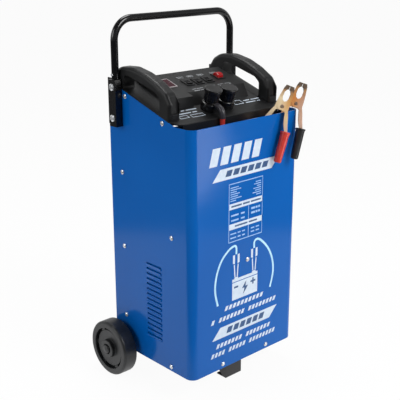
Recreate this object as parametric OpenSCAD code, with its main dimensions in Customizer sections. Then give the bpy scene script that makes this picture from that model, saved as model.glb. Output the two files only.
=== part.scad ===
// Trolley battery charger and engine starter, millimetres, +Z up.
// Case frame used below: x = 0 at the middle, y = 0 at the front face, z = 0 at the case's bottom.

/* [Case] */
// Outside width of the case
case_w = 350; // [340:2:380]
// Depth of the case from front to back
case_d = 286; // [280:2:310]
// Height of the case's front edge
case_front_h = 600; // [580:5:660]
// Height of the case's rear edge
case_rear_h = 675; // [665:1:690]
// Length of the level stretch at the front of the side's top edge
level_d = 53; // [48:1:58]
// Thickness of the case sheet
sheet_t = 1.5; // [1:0.1:2]
// Outside radius of the two folded front corners
corner_r = 20; // [14:1:26]
// Free height under the case
ground_gap = 62; // [50:1:80]
// Depth of the storage bay behind the front face
bay_d = 58; // [56:1:62]
// Height of the storage bay's floor above the case's bottom
bay_floor = 272; // [240:1:300]

/* [Louvres] */
// Number of louvres in each side
louvres = 15; // [6:1:17]
// Distance from one louvre to the next
louvre_pitch = 13.1; // [12:0.1:14]
// Length of a louvre
louvre_l = 53; // [30:1:70]
// Height of the lowest louvre
louvre_low = 69; // [60:1:80]
// Distance that a louvre's hood stands out
louvre_out = 2.4; // [1.5:0.1:3.5]

/* [Wheels] */
// Radius of a wheel
wheel_r = 70; // [66:0.5:74]
// Width of a wheel
wheel_w = 39; // [28:1:46]
// Gap between the case's side and the wheel
wheel_gap = 13; // [10:1:20]
// Distance from the case's rear face to the axle
axle_inset = 29; // [26:1:40]
// Diameter of the axle
axle_d = 12; // [10:0.5:13]

/* [Foot] */
// Width of the foot
foot_w = 54; // [40:1:80]
// Distance from the front face to the foot
foot_inset = 38; // [34:1:60]
// Depth of the foot
foot_d = 32; // [28:1:45]
// Thickness of the foot's steel
foot_t = 2.5; // [2:0.1:3]

/* [Push handle] */
// Diameter of the handle tube
tube_d = 17; // [15:0.5:20]
// Height of the top tube's centre above the case's rear edge
handle_rise = 142; // [105:1:185]
// Bend radius of the handle tube
handle_bend = 48; // [35:1:60]
// Distance from the case's rear face to the handle tube
handle_inset = 38; // [34:1:42]
// Height of a handle bracket
bracket_h = 109; // [105:1:120]
// Distance from the case's rear top edge down to the bracket's lower end
bracket_drop = 102; // [96:1:108]
// Thickness of the bracket's steel
bracket_t = 2; // [1.5:0.1:2.5]
// Head diameter of a bracket bolt
bolt_head_d = 16; // [14:0.5:18]

/* [Console] */
// Wall thickness of the console moulding
wall = 3; // [2.5:0.1:3.5]
// Distance from the front face to the console's lip
lip_y = 50; // [46:1:54]
// Height of the raised deck above the terrace around it
deck_rise = 24.7; // [20:0.5:28]
// Half width of the raised deck
deck_half = 117; // [112:1:122]
// Thickness of a carry handle
grip_t = 34.5; // [28:0.5:36]
// Rounding of a carry handle's edges
grip_round = 9; // [4:0.5:10]

/* [Switches] */
// Length of a black rocker's frame, front to back
rocker_l = 29; // [26:0.5:30]
// Width of a black rocker's frame
rocker_w = 23; // [20:0.5:26]
// Length of the red rocker's frame, front to back
power_l = 28; // [26:0.5:30]
// Width of the red rocker's frame
power_w = 26; // [23:0.5:30]
// Tilt of a rocker either way from level
rocker_tilt = 9; // [7:1:11]

/* [Terminals] */
// Distance between the two terminals
terminal_gap = 50; // [48:1:60]
// Diameter of a terminal stud
stud_d = 10; // [8:0.5:12]
// Diameter of a knob's cap
knob_d = 42; // [38:1:46]
// Diameter of a terminal's base
base_d = 42; // [38:1:43]
// Height of a terminal's base
base_h = 20; // [16:1:24]

/* [Clamps and lead] */
// Diameter of the red lead
lead_d = 12; // [11:0.5:12.5]
// Mean diameter of the lead's coil in the bay
coil_d = 132; // [124:2:140]
// Thickness of a clamp's pressed steel
clamp_t = 1.5; // [1.2:0.1:1.6]
// Half width of a clamp's outer arm
clamp_half = 7.5; // [7:0.1:8]
// Diameter of a clamp's rivet
rivet_d = 5; // [4.5:0.5:6]
// Diameter of a clamp grip at its wide end
clamp_grip_d = 24; // [22:0.5:25]

/* [Inside] */
// Width of the transformer core
core_w = 168; // [150:2:180]
// Height of the transformer core
core_h = 140; // [120:2:150]
// Stack depth of the transformer core
core_d = 84; // [70:2:92]
// Side of the fan's square frame
fan_w = 120; // [100:2:125]
// Depth of the fan's frame
fan_d = 38; // [30:1:40]

/* [Hidden] */
$fn = 48;

// Clearances
slip = 0.2;       // between pieces that are fitted together
run = 0.05;       // radial, shaft in bore
apart = 0.3;      // between pieces that move past each other

// Places worked out from the driving sizes
half_w = case_w / 2;
inner_w = half_w - sheet_t;
top_slope = (case_rear_h - case_front_h) / (case_d - level_d);
tilt = atan(top_slope);
axle_y = case_d - axle_inset;
handle_h = case_rear_h + handle_rise;
bracket_low = case_rear_h - bracket_drop;
axle_z = wheel_r - ground_gap;
wheel_in = half_w + wheel_gap;
wheel_out = wheel_in + wheel_w;
tube_y = case_d - handle_inset;
tube_x = half_w + tube_d / 2 + 0.1;
web_in = tube_x + tube_d / 2 + 0.1;
clamp_front = 27.6;
frame_shift = (axle_y + wheel_r - clamp_front) / 2;

// Height of the side's top edge at a distance from the front face
function edge_z(y) = case_front_h + top_slope * max(0, y - level_d);

// A moulded or pressed outline has its corners rounded in short steps
function unit(v) = v / norm(v);
function turned(v, a) = [v.x * cos(a) - v.y * sin(a), v.x * sin(a) + v.y * cos(a)];
function corner(a, p, b, r, n) =
    let (u = unit(a - p), v = unit(b - p), half = acos(u * v) / 2,
         reach = r / tan(half), c = p + unit(u + v) * (r / sin(half)),
         s = p + u * reach - c, e = p + v * reach - c,
         way = s.x * e.y - s.y * e.x > 0 ? 1 : -1)
    [for (i = [0:n]) c + turned(s, way * (180 - 2 * half) * i / n)];
function rounded(pts, n = 5) = [for (i = [0:len(pts) - 1])
    let (k = len(pts), p = pts[i], a = pts[(i + k - 1) % k], b = pts[(i + 1) % k])
    each p[2] > 0 ? corner([a.x, a.y], [p.x, p.y], [b.x, b.y], p[2], n) : [[p.x, p.y]]];

// Everything stands on the ground, with the origin under the middle of the whole
module placed() { translate([0, -frame_shift, ground_gap]) children(); }
// A y,z outline drawn out across the case from x0 to x1
module across(x0, x1, pts) {
    translate([x0, 0, 0]) rotate([90, 0, 90]) linear_extrude(x1 - x0) polygon(pts);
}
module both_sides() {
    children();
    mirror([1, 0, 0]) children();
}
module tube(d_out, d_in, h) {
    difference() {
        cylinder(d = d_out, h = h);
        translate([0, 0, -1]) cylinder(d = d_in, h = h + 2);
    }
}
module pan_screw(head_d, head_h, shank_d, shank_l) {
    cylinder(d = head_d, h = head_h * 0.45);
    translate([0, 0, head_h * 0.45]) cylinder(d1 = head_d, d2 = head_d * 0.6, h = head_h * 0.55);
    translate([0, 0, -shank_l]) cylinder(d = shank_d, h = shank_l + 0.01);
}

// ---- Case screws: places on the front (x, z) and on a side (y, z)
screw_d = 4;
screw_hole = screw_d + 0.5;
screw_head = 11;
screw_l = 10;
front_screws = [[-75, 11.5], [75, 11.5], [4, bay_floor - 11]];
rear_screw_y = case_d - 43;
lug_screw_y = case_d - 61;
side_screws = [[73, 11.5], [rear_screw_y, 90], [rear_screw_y, 274], [67.3, 341], [rear_screw_y, 461],
    [94, edge_z(94) - 11], [lug_screw_y, edge_z(lug_screw_y) - 11]];

module front_screw_places() {
    for (p = front_screws) translate([p[0], 0, p[1]]) rotate([90, 0, 0]) children();
}
module side_screw_places() {
    both_sides() for (p = side_screws)
        translate([half_w, p[0], p[1]]) rotate([0, 90, 0]) children();
}
module case_screws() {
    color("silver") {
        front_screw_places() pan_screw(screw_head, 3, screw_d, screw_l);
        side_screw_places() pan_screw(screw_head, 3, screw_d, screw_l);
    }
}
module screw_holes() {
    front_screw_places() translate([0, 0, -20]) cylinder(d = screw_hole, h = 21);
    side_screw_places() translate([0, 0, -20]) cylinder(d = screw_hole, h = 21);
}

// ---- Casing: front and both sides folded from one sheet
module case_plan(r, w, d) {
    translate([-w, r]) square([2 * w, d - r]);
    translate([-w + r, 0]) square([2 * w - 2 * r, 2 * r]);
    for (s = [-1, 1]) translate([s * (w - r), r]) circle(r = r);
}
module louvre_row() {
    for (i = [0:louvres - 1]) translate([0, 0, louvre_low + i * louvre_pitch]) children();
}
louvre_mid = 133;
module louvre_hood() {
    translate([half_w - 0.01, louvre_mid + louvre_l / 2, 0]) rotate([90, 0, 0])
        linear_extrude(louvre_l)
        polygon([[0, -5], [louvre_out * 0.6, -3.5], [louvre_out, -1], [louvre_out, 1.5], [0, 1.5]]);
}
// Lip bent in and up behind a louvre's slot
module louvre_lip() {
    translate([inner_w + 0.01, louvre_mid + louvre_l / 2, 0]) rotate([90, 0, 0])
        linear_extrude(louvre_l)
        polygon([[0, 1.5], [-3, 3.6], [-3, 8], [-3.8, 8], [-3.8, 3], [0, 0.2]]);
}
module casing_shell() {
    color("royalblue") difference() {
        union() {
            difference() {
                linear_extrude(case_rear_h) difference() {
                    case_plan(corner_r, half_w, case_d);
                    translate([0, sheet_t, 0]) case_plan(corner_r - sheet_t, inner_w, case_d);
                }
                across(-half_w - 1, half_w + 1, [[-1, case_front_h], [level_d, case_front_h],
                    [case_d + 1, edge_z(case_d + 1)], [case_d + 1, case_rear_h + 9],
                    [-1, case_rear_h + 9]]);
            }
            both_sides() louvre_row() {
                louvre_hood();
                louvre_lip();
            }
        }
        both_sides() louvre_row()
            translate([inner_w - 0.01, louvre_mid - louvre_l / 2, 1.5]) cube([6, louvre_l, 3.2]);
        screw_holes();
        both_sides() translate([inner_w - 1, axle_y, axle_z]) rotate([0, 90, 0])
            cylinder(d = axle_d + 2 * run, h = 6);
        both_sides() for (z = [low_bolt, high_bolt])
            bolt_places(z) translate([0, 0, -24]) cylinder(d = bolt_hole, h = 30);
    }
}

// ---- Base plate with upturned edges
base_up = 24;
base_t = 1.5;
base_front = 24;
module base_plate() {
    back = case_d - 4;
    color("dimgray") difference() {
        linear_extrude(base_up) {
            translate([-inner_w + slip, base_front]) square([2 * (inner_w - slip), back - base_front]);
            translate([-90, sheet_t + slip]) square([180, base_front]);
        }
        translate([0, 0, base_t]) linear_extrude(base_up) {
            translate([-inner_w + slip + base_t, base_front - 1])
                square([2 * (inner_w - slip - base_t), back - base_front + 2]);
            translate([-91, sheet_t + slip + base_t]) square([182, base_front]);
        }
        screw_holes();
        both_sides() translate([inner_w - 5, axle_y, axle_z]) rotate([0, 90, 0])
            cylinder(d = axle_d + 2 * run, h = 9);
        base_bolt_places() translate([0, 0, -1]) cylinder(d = base_bolt_d + 0.4, h = 9);
    }
}

// ---- Rear panel with forward flanges, vents, fan grille and gland hole
rear_t = 1.5;
rear_flange = 52;
rear_top = case_rear_h - 20;
skirt_h = 22;
fan_z = 330;
gland_x = -110;
gland_z = 70;
gland_d = 20;
module fan_screw_places() {
    for (x = [-1, 1]) for (z = [-1, 1])
        translate([x * (fan_w / 2 - 7.5), case_d, fan_z + z * (fan_w / 2 - 7.5)])
            rotate([-90, 0, 0]) children();
}
flange_top = edge_z(case_d - rear_flange) - skirt_h - 2;
module vent_rows() {
    for (i = [0:9]) translate([-100, case_d - 5, rear_top - 175 + i * louvre_pitch]) children();
}
module rear_panel() {
    color("royalblue") difference() {
        translate([-inner_w + slip, case_d - rear_flange, base_up + 2])
            cube([2 * (inner_w - slip), rear_flange, flange_top - base_up - 2]);
        translate([-inner_w + slip + rear_t, case_d - rear_flange - 1, base_up])
            cube([2 * (inner_w - slip - rear_t), rear_flange + 1 - rear_t, rear_top]);
        screw_holes();
        both_sides() bolt_places(low_bolt) translate([0, 0, -24]) cylinder(d = bolt_hole, h = 30);
        fan_screw_places() translate([0, 0, -9]) cylinder(d = 4.5, h = 10);
        translate([gland_x, case_d + 1, gland_z]) rotate([90, 0, 0]) cylinder(d = gland_d + 0.2, h = 9);
        for (i = [-4:4]) translate([0, case_d - 5, fan_z + i * 11.5])
            translate([-sqrt(53 * 53 - pow(i * 11.5, 2)), 0, -3])
                cube([2 * sqrt(53 * 53 - pow(i * 11.5, 2)), 9, 6]);
        vent_rows() cube([200, 9, 4]);
    }
    color("royalblue") difference() {
        translate([-inner_w + slip, case_d - rear_t, flange_top - 1])
            cube([2 * (inner_w - slip), rear_t, rear_top - flange_top + 1]);
        vent_rows() cube([200, 9, 4]);
    }
    color("royalblue") difference() {
        translate([-inner_w + slip + 4, case_d - rear_t, 4])
            cube([2 * (inner_w - slip - 4), rear_t, base_up]);
        translate([gland_x, case_d + 1, gland_z]) rotate([90, 0, 0]) cylinder(d = gland_d + 0.2, h = 9);
    }
}

// ---- Bay partition: back wall and floor of the storage bay
part_t = 1.2;
part_top = case_front_h - 4;
module bay_partition() {
    color("#1c1d1f") difference() {
        union() {
            translate([-inner_w + slip, bay_d, bay_floor - part_t])
                cube([2 * (inner_w - slip), part_t, part_top - bay_floor + part_t]);
            both_sides() translate([inner_w - slip - part_t, bay_d, bay_floor + 20])
                cube([part_t, 20, part_top - bay_floor - 40]);
            translate([-inner_w + corner_r, sheet_t + slip, bay_floor - part_t])
                cube([2 * (inner_w - corner_r), bay_d, part_t]);
            translate([-inner_w + slip, corner_r, bay_floor - part_t])
                cube([2 * (inner_w - slip), bay_d - corner_r + 1, part_t]);
            translate([-60, sheet_t + slip, bay_floor - 22]) cube([120, part_t, 22]);
        }
        screw_holes();
        for (p = sink_bolts) translate([p[0], bay_d - 1, p[1]]) rotate([-90, 0, 0])
            cylinder(d = 5.4, h = 9);
    }
}

// ---- Foot: one strip bent to a channel, open at the back
base_bolt_d = 6;
foot_places = [[-foot_w / 4, foot_inset + foot_d / 2 + 2], [foot_w / 4, foot_inset + foot_d / 2 + 2]];
module base_bolt_places() {
    for (p = foot_places) translate([p.x, p.y, 0]) children();
    for (y = core_foot_y) for (x = core_foot_x) translate([x, y, 0]) children();
}
module front_foot() {
    color("#17181a") difference() {
        translate([-foot_w / 2, foot_inset, -ground_gap])
            cube([foot_w, foot_d, ground_gap]);
        translate([-foot_w / 2 + foot_t, foot_inset + foot_t, -ground_gap + foot_t])
            cube([foot_w - 2 * foot_t, foot_d, ground_gap - 2 * foot_t]);
        across(-foot_w, foot_w, [[foot_inset + 12, -ground_gap + foot_t], [foot_inset + foot_d + 1,
            -ground_gap + foot_d - 10], [foot_inset + foot_d + 1, -ground_gap + foot_t]]);
        for (p = foot_places) translate([p.x, p.y, -9]) cylinder(d = base_bolt_d + 0.4, h = 10);
    }
}
module hex_bolt(grip, nut_gap) {
    translate([0, 0, -4]) cylinder(d = 10, h = 4, $fn = 6);
    translate([0, 0, -0.5]) cylinder(d = base_bolt_d, h = grip + nut_gap + 6);
    translate([0, 0, grip]) cylinder(d = 11, h = 4, $fn = 6);
}
module base_bolts() {
    color("silver") {
        for (p = foot_places) translate([p.x, p.y, -foot_t]) hex_bolt(foot_t + base_t, 0);
        for (y = core_foot_y) for (x = core_foot_x) translate([x, y, 0]) hex_bolt(base_t + angle_t, 0);
    }
}

// ---- Push handle, its brackets and bolts
bolt_d = 8;
bolt_hole = bolt_d + 0.4;
low_bolt = bracket_low + 20;
high_bolt = bracket_low + bracket_h - 17;
tube_low = bracket_low + 2;
module bolt_places(z) {
    translate([web_in + bracket_t, tube_y, z]) rotate([0, 90, 0]) children();
}
tube_wall = 1.5;
tube_in = tube_d - 2 * tube_wall;
module push_handle() {
    color("#101113") difference() {
        union() {
            both_sides() {
                translate([tube_x, tube_y, tube_low])
                    tube(tube_d, tube_in, handle_h - handle_bend - tube_low);
                translate([tube_x - handle_bend, tube_y, handle_h - handle_bend]) rotate([90, 0, 0])
                    rotate_extrude(angle = 90) translate([handle_bend, 0, 0]) difference() {
                        circle(d = tube_d);
                        circle(d = tube_in);
                    }
            }
            translate([-tube_x + handle_bend, tube_y, handle_h]) rotate([0, 90, 0])
                tube(tube_d, tube_in, 2 * (tube_x - handle_bend));
        }
        both_sides() {
            for (z = [low_bolt, high_bolt])
                bolt_places(z) translate([0, 0, -tube_d - 5]) cylinder(d = bolt_hole, h = tube_d + 6);
            bolt_places(stop_z) translate([0, 0, -tube_d / 2]) cylinder(d = 3.4, h = tube_d);
        }
    }
}
stop_z = bracket_low + bracket_h + 11;
module handle_stop_screws() {
    color("silver") both_sides()
        translate([tube_x + tube_d / 2, tube_y, stop_z]) rotate([0, 90, 0]) {
            translate([0, 0, -3]) cylinder(d = 3, h = 4);
            cylinder(d = 6, h = 2);
        }
}
bracket_w = 25;
module handle_bracket() {
    difference() {
        union() {
            translate([web_in, tube_y - bracket_w / 2, bracket_low])
                cube([bracket_t, bracket_w, bracket_h]);
            for (y = [tube_y - bracket_w / 2, tube_y + bracket_w / 2 - bracket_t])
                translate([half_w + 0.05, y, bracket_low])
                    cube([web_in - half_w, bracket_t, bracket_h]);
            translate([half_w + 0.05, tube_y + bracket_w / 2 - bracket_t, bracket_low])
                cube([bracket_t, case_d - tube_y - bracket_w / 2 + bracket_t, bracket_h]);
        }
        for (z = [low_bolt, high_bolt])
            bolt_places(z) translate([0, 0, -9]) cylinder(d = bolt_hole, h = 10);
    }
}
module handle_brackets() { color("#17181a") both_sides() handle_bracket(); }
bolt_l = web_in + bracket_t - inner_w + 12;
nut_drop = web_in + bracket_t - inner_w + slip + rear_t;
module bracket_bolts() {
    color("silver") both_sides() for (z = [low_bolt, high_bolt])
        bolt_places(z) {
            pan_screw(bolt_head_d, 5, bolt_d, bolt_l);
            if (z == low_bolt) translate([0, 0, -nut_drop - 6.5]) cylinder(d = 14, h = 6.5, $fn = 6);
        }
}

// ---- Axle and wheels
module axle() {
    color("dimgray") translate([-wheel_out - 7, axle_y, axle_z]) rotate([0, 90, 0])
        cylinder(d = axle_d, h = 2 * (wheel_out + 7));
}
boss_r = 22.5;   // raised ring round the axle cap
boss_h = 4;
module wheel() {
    rim = wheel_r - 17;
    disc = wheel_r - 22;
    difference() {
        rotate_extrude($fn = 96) polygon(rounded([[axle_d / 2 + run, 0, 0], [wheel_r, 0, 5],
            [wheel_r, wheel_w, 6], [rim, wheel_w, 2], [rim, wheel_w - 12, 0],
            [disc, wheel_w - 12, 0], [disc, wheel_w - 5, 3], [boss_r + 1, wheel_w - 6, 1],
            [boss_r, wheel_w + boss_h, 2], [13.5, wheel_w + boss_h, 1],
            [12.5, wheel_w, 0], [axle_d / 2 + run, wheel_w, 0]], 4));
    }
    for (a = [0:60:300]) rotate([0, 0, a])
        translate([disc - 2, -6, wheel_w - 13]) cube([rim - disc + 3, 12, 7]);
}
module wheel_place() {
    translate([wheel_in, axle_y, axle_z]) rotate([90, 0, 90]) children();
}
module left_wheel() { color("#1b1b1c") mirror([1, 0, 0]) wheel_place() wheel(); }
module right_wheel() { color("#1b1b1c") wheel_place() wheel(); }
module wheel_spacers() {
    color("dimgray") both_sides() translate([half_w + 0.05, axle_y, axle_z]) rotate([0, 90, 0])
        tube(20, axle_d + 2 * run, wheel_gap - 0.05 - apart);
}
module axle_caps() {
    color("#1b1b1c") both_sides() translate([wheel_out + apart, axle_y, axle_z])
        rotate([0, 90, 0]) difference() {
            rotate_extrude() polygon(rounded([[0, 0, 0], [11, 0, 0], [11, 7, 3], [0, 9, 0]]));
            translate([0, 0, -1]) cylinder(d = axle_d + 2 * run, h = 1 + 7 - apart);
        }
}

// ---- Console moulding
seat = 0.3;
function terrace_z(y) = edge_z(y) + seat + wall;
function deck_z(y) = terrace_z(y) + deck_rise;
console_back = case_d - 4;
back_cut_y = case_d - 20;
back_drop = 0.23;
deck_back = case_d - 64;
function back_z(y) = deck_z(deck_back) - back_drop * (y - deck_back);
slope_foot = 112.5;
slope_head = 131;
box_face = 110;
box_right = -67;
// A point on the raised deck, with z up out of the slope
module on_deck(x, y) { translate([x, y, deck_z(y)]) rotate([tilt, 0, 0]) children(); }
module on_terrace(x, y) { translate([x, y, terrace_z(y)]) rotate([tilt, 0, 0]) children(); }

// The terrace and its skirt: a lidded tray, open below
module terrace() {
    difference() {
        across(-half_w + 0.3, half_w - 0.3, rounded([[lip_y, edge_z(0) + seat, 0],
            [lip_y, terrace_z(0), 2.5], [level_d, terrace_z(level_d), 0],
            [back_cut_y, terrace_z(back_cut_y), 0], [back_cut_y, edge_z(back_cut_y) + seat, 0],
            [level_d, edge_z(0) + seat, 0]]));
        both_sides() translate([half_w - 28, lip_y - 1, edge_z(0) - 5]) lip_corner(28);
    }
    across(-inner_w + slip, inner_w - slip, [[back_cut_y - 6, terrace_z(back_cut_y - 6)],
        [back_cut_y, terrace_z(back_cut_y)], [console_back, back_z(console_back)],
        [console_back, back_z(console_back) - 14], [console_back - wall, back_z(console_back) - 14],
        [console_back - wall, back_z(console_back - wall) - wall],
        [back_cut_y, edge_z(back_cut_y) + seat], [back_cut_y - 6, edge_z(back_cut_y - 6) + seat]]);
    across(-inner_w + corner_r, inner_w - corner_r, [[lip_y, case_front_h - 14], [lip_y + wall, case_front_h - 14],
        [lip_y + wall, edge_z(0) + 1], [lip_y, edge_z(0) + 1]]);
    both_sides() skirt();
    translate([-inner_w + 4, console_back - wall, rear_top - 20])
        cube([2 * inner_w - 8, wall - 0.5, back_z(console_back) - 12 - rear_top + 20]);
}
// Plan rounding of the lip's two front corners
module lip_corner(r) {
    difference() {
        cube([r + 2, r + 1, 30]);
        translate([0, r + 1, -1]) cylinder(r = r - 0.3, h = 40);
    }
}
module skirt() {
    across(inner_w - slip - wall, inner_w - slip, [[level_d + 30, edge_z(level_d + 30) + 1],
        [console_back - 1, edge_z(console_back - 1) + 1], [console_back - 1, edge_z(console_back) - skirt_h],
        [level_d + 30, edge_z(level_d + 30) - skirt_h]]);
}
// The raised deck: a hollow step with a sloped front, and a square nose at its left
module deck_shape(d) {
    across(box_right - 1 - d, deck_half - d, [[slope_foot + d, terrace_z(slope_foot) - wall - 1],
        [slope_head + d * 0.6, deck_z(slope_head + d * 0.6) - d], [deck_back, deck_z(deck_back) - d],
        [console_back - wall, back_z(console_back - wall) - d],
        [console_back - wall, terrace_z(back_cut_y) - 2 * wall]]);
    across(-deck_half + d, box_right - d, [[box_face + d, terrace_z(box_face) - wall - 1],
        [box_face + d + 1.5, deck_z(box_face + d + 1.5) - d], [deck_back, deck_z(deck_back) - d],
        [console_back - wall, back_z(console_back - wall) - d],
        [console_back - wall, terrace_z(back_cut_y) - 2 * wall]]);
}
// A carry handle spans from the lip to the rear: a place along it, and a height over the case's edge
function along_y(y) = lip_y + (y - 50) * (console_back - lip_y) / 232;
function over_edge(y, h, r) = [along_y(y), edge_z(along_y(y)) + h, r];
// Outline of a carry handle, seen from the side
handle_line = rounded([[console_back, edge_z(console_back) + seat, 0], over_edge(279, 7.3, 10),
    over_edge(267, 29.1, 24), over_edge(243, 49.8, 40), over_edge(204, 64.4, 60), over_edge(158, 70.2, 90),
    over_edge(118, 67.1, 60), over_edge(84, 58, 22), over_edge(69.5, 40.7, 10), over_edge(71, seat, 0)]);
// The hand hole under it
hole_line = rounded([over_edge(103, seat + wall + 0.3, 5), over_edge(103, 39.9, 8),
    over_edge(117, 47.4, 16), over_edge(199, 43, 30), over_edge(228, 39.7, 12),
    over_edge(233, seat + wall + 0.3, 8)]);
function shrunk(p, mid, d) = let (v = p - mid) mid + v * (1 - d / norm(v));
// Slab of an outline between two x planes, its edges eased by rings of the same outline
module eased_slab(line, x0, x1, ease, sign) {
    steps = 4;
    mid = [along_y(176), case_front_h];
    k = len(line);
    layers = [for (i = [0:steps]) [x0 + ease * (1 - cos(90 * i / steps)), ease * (1 - sin(90 * i / steps))],
              for (i = [steps:-1:0]) [x1 - ease * (1 - cos(90 * i / steps)), ease * (1 - sin(90 * i / steps))]];
    pts = [for (l = layers) for (p = line) let (q = shrunk(p, mid, sign * l[1])) [l[0], q.x, q.y]];
    n = len(layers);
    polyhedron(pts, concat(
        [[for (i = [0:k - 1]) i]],
        [for (j = [0:n - 2]) for (i = [0:k - 1])
            [j * k + (i + 1) % k, j * k + i, (j + 1) * k + i, (j + 1) * k + (i + 1) % k]],
        [[for (i = [k - 1:-1:0]) (n - 1) * k + i]]));
}
module carry_handle() {
    difference() {
        intersection() {
            eased_slab(handle_line, half_w - grip_t, half_w - 0.2, grip_round, 1);
            across(0, half_w, [[60, edge_z(60) + seat], [level_d, edge_z(level_d) + seat],
                [290, edge_z(290) + seat], [290, 740], [60, 740]]);
        }
        across(half_w - grip_t - 1, half_w + 1, hole_line);
        // finger recess in the front post
        translate([half_w - grip_t + 4, lip_y + 8, edge_z(70) + 19]) rotate([-4, 0, 0]) linear_extrude(44)
            polygon(rounded([[0, 0, 0], [22, 0, 0], [22, 19, 5], [0, 19, 5]]));
    }
}
// Fillet of the moulding that ties the rear of a carry handle to the terrace
module handle_root() {
    end = console_back - 2;
    across(half_w - grip_t + 1, inner_w - slip - 0.1, [[back_cut_y - 4, terrace_z(back_cut_y - 4) - 1],
        [back_cut_y - 4, terrace_z(back_cut_y - 4) + 4], [end, terrace_z(end) + 4],
        [end, back_z(end) - 1], [back_cut_y, terrace_z(back_cut_y) - 1]]);
}
module console() {
    color("#1d1e20") difference() {
        union() {
            difference() {
                union() {
                    terrace();
                    deck_shape(0);
                }
                deck_shape(wall);
            }
            both_sides() {
                carry_handle();
                handle_root();
            }
            for (i = [0:2]) across(-deck_half + 4, deck_half - 4,
                let (y = deck_back + 8 + i * 12) [[y, back_z(y) - 1], [y + 1, back_z(y) + 1.2],
                    [y + 3, back_z(y) + 0.8], [y + 4, back_z(y) - 1.4]]);
        }
        screw_holes();
        for (x = terminal_x) on_terrace(x, terminal_y) translate([0, 0, -20])
            cylinder(d = stud_d + 0.4, h = 40);
        for (x = rocker_x) on_deck(x, rocker_y) translate([-rocker_w / 2 + 2, -rocker_l / 2 + 2, -30])
            cube([rocker_w - 4, rocker_l - 4, 40]);
        on_deck(power_x, power_y) translate([-power_w / 2 + 2, -power_l / 2 + 2, -30])
            cube([power_w - 4, power_l - 4, 40]);
        on_deck(display_x, display_y) translate([-display_w / 2 + 3, -display_l / 2 + 3, -30])
            cube([display_w - 6, display_l - 6, 40]);
        both_sides() bolt_places(high_bolt) translate([0, 0, -40]) cylinder(d = bolt_hole, h = 41);
    }
}

// ---- Display
display_x = -92;
display_y = 180;
display_w = 42;
display_l = 41;
bezel = 2.2;
module display_frame() {
    color("gainsboro") on_deck(display_x, display_y) difference() {
        union() {
            translate([-display_w / 2, -display_l / 2, 0]) cube([display_w, display_l, 1.8]);
            translate([-display_w / 2 + 3 + slip, -display_l / 2 + 3 + slip, -6])
                cube([display_w - 6 - 2 * slip, display_l - 6 - 2 * slip, 7]);
        }
        translate([-display_w / 2 + 5, -display_l / 2 + 5, -9])
            cube([display_w - 10, display_l - 10, 20]);
        translate([-display_w / 2 + bezel, -display_l / 2 + bezel, 0.5])
            cube([display_w - 2 * bezel, display_l - 2 * bezel, 9]);
    }
}
module display_window() {
    color("#4a0a12") on_deck(display_x, display_y)
        translate([-display_w / 2 + bezel + 0.05, -display_l / 2 + bezel + 0.05, 0.5])
            cube([display_w - 2 * bezel - 0.1, display_l - 2 * bezel - 0.1, 1]);
}
module display_module() {
    color("#26272b") on_deck(display_x, display_y)
        translate([-display_w / 2 + 5 + 0.2, -display_l / 2 + 8, -board_depth])
            cube([display_w - 10.4, 24, board_depth - 3.2]);
}
board_t = 1.6;
board_depth = 20;
module control_board() {
    color("darkgreen") on_deck(display_x, display_y) {
        translate([-22, -22, -board_depth - board_t]) cube([110, 34, board_t]);
        for (x = [30, 55, 75]) translate([x, -12, -board_depth - board_t - 9]) cylinder(d = 9, h = 9.5);
        for (p = [[-19, -19.7], [38, -19.7], [38, 9]]) translate([p.x, p.y, -board_depth - 0.5])
            cylinder(d = 4, h = board_depth + 0.5 - wall);
    }
}

// ---- Rocker switches
rocker_x = [-31, 0, 33];
rocker_y = 170;
power_x = 75;
power_y = 178;
pin_d = 3;
cheek = 1.6;
// Frame and body of a switch, on the deck at the origin
module switch_body(w, l, side) {
    pin_z = -1.5;
    difference() {
        union() {
            translate([-w / 2, -l / 2, 0]) cube([w, l, 2]);
            translate([-w / 2 + 2 + slip, -l / 2 + 2 + slip, -17])
                cube([w - 4 - 2 * slip, l - 4 - 2 * slip, 17.01]);
        }
        translate([-w / 2 + side, -l / 2 + 3.4, -13]) cube([w - 2 * side, l - 6.8, 16]);
        translate([-w, 0, pin_z]) rotate([0, 90, 0]) cylinder(d = pin_d + 2 * run, h = 2 * w);
    }
}
// Rocker with its pins, at its rest tilt
module switch_rocker(w, l, side, rise) {
    a = rocker_tilt;
    half = l / 2 - 3.4 - 1.1;
    rotate([-a, 0, 0]) translate([0, 0, 0]) {
        across(-w / 2 + side + apart, w / 2 - side - apart,
            rounded([[-half, -2.5, 0], [-half - 0.4, rise, 1], [0, 3.0, 0], [half + 0.4, rise, 1],
                [half, -2.5, 0], [4, -6, 0], [-4, -6, 0]], 3));
        translate([-w / 2 + side - cheek, 0, 0]) rotate([0, 90, 0])
            cylinder(d = pin_d, h = w - 2 * side + 2 * cheek);
    }
}
module at_pin(x, y) { on_deck(x, y) translate([0, 0, -1.5]) children(); }
module rocker_frames() {
    color("#141416") for (x = rocker_x) on_deck(x, rocker_y) switch_body(rocker_w, rocker_l, 4);
}
module black_rocker(i) {
    color("#0d0d0e") at_pin(rocker_x[i], rocker_y) switch_rocker(rocker_w, rocker_l, 4, 5.8);
}
module left_rocker() { black_rocker(0); }
module middle_rocker() { black_rocker(1); }
module right_rocker() { black_rocker(2); }
module power_rocker_frame() {
    color("#141416") on_deck(power_x, power_y) switch_body(power_w, power_l, 4);
}
module power_rocker() {
    color("#d01818") at_pin(power_x, power_y) switch_rocker(power_w, power_l, 4, 8.5);
}

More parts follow.
